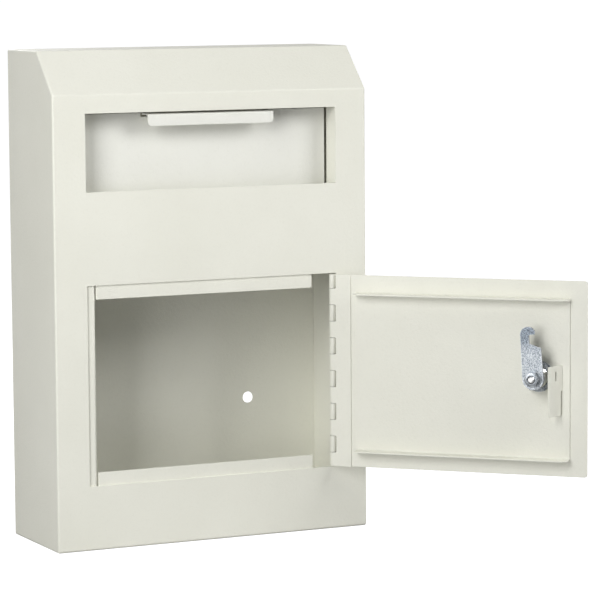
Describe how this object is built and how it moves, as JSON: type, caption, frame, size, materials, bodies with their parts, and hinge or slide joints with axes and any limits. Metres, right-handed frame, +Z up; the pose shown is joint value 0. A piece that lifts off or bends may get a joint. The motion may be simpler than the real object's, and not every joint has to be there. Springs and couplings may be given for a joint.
{
  "type": "parcel drop box",
  "caption": "Wall-mounted steel parcel drop box with a sloped top, a tilting deposit flap with a pull lip, and a hinged collection door with a hooked cam lock.",
  "frame": {"origin": "on the rear face, at the centre of the four wall bolt holes", "axes": "+X to the right seen from the front, +Y into the wall, +Z up"},
  "size_m": [0.4047, 0.2558, 0.406],
  "materials": {
    "ivory_powder_coat": "fine textured powder coat, low gloss",
    "zinc_plate": "bright zinc plate with a mottled bluish sheen",
    "lock_body": "plated zinc casting"
  },
  "bodies": {
    "box": {"shell": "ivory_powder_coat", "back_panel": "ivory_powder_coat", "stop_strip_top": "ivory_powder_coat", "stop_strip_bottom": "ivory_powder_coat", "latch_angle": "ivory_powder_coat", "slot_cheek_left": "ivory_powder_coat", "slot_cheek_right": "ivory_powder_coat", "flap_rest_angle": "ivory_powder_coat", "hinge_leaf_frame": "ivory_powder_coat", "hinge_pin": "zinc_plate"},
    "flap": {"flap_panel": "ivory_powder_coat", "flap_wing_left": "ivory_powder_coat", "flap_wing_right": "ivory_powder_coat", "flap_baffle": "ivory_powder_coat", "flap_rod": "zinc_plate"},
    "door": {"door_plate": "ivory_powder_coat", "door_stiffener": "ivory_powder_coat", "cam_bracket": "ivory_powder_coat", "hinge_leaf_door": "ivory_powder_coat", "lock_housing": "lock_body", "lock_washer": "zinc_plate", "lock_nut": "zinc_plate"},
    "lock_plug_and_cam": {"lock_plug": "lock_body", "lock_cam": "zinc_plate", "cam_washer": "zinc_plate", "cam_nut": "zinc_plate"}
  },
  "joints": [
    {"name": "flap_tilt", "type": "hinge", "parent": "box", "child": "flap", "pos_m": [0, -0.078, 0.08], "axis": [1, 0, 0], "range_deg": [0, 43]},
    {"name": "door_hinge", "type": "hinge", "parent": "box", "child": "door", "pos_m": [0.1085, -0.1005, 0], "axis": [0, 0, 1], "range_deg": [-135.5, 39.5]},
    {"name": "lock_turn", "type": "hinge", "parent": "door", "child": "lock_plug_and_cam", "pos_m": [0.23561, -0.22611, -0.066], "axis": [0.7009, 0.7133, 0], "range_deg": [0, 93]}
  ]
}
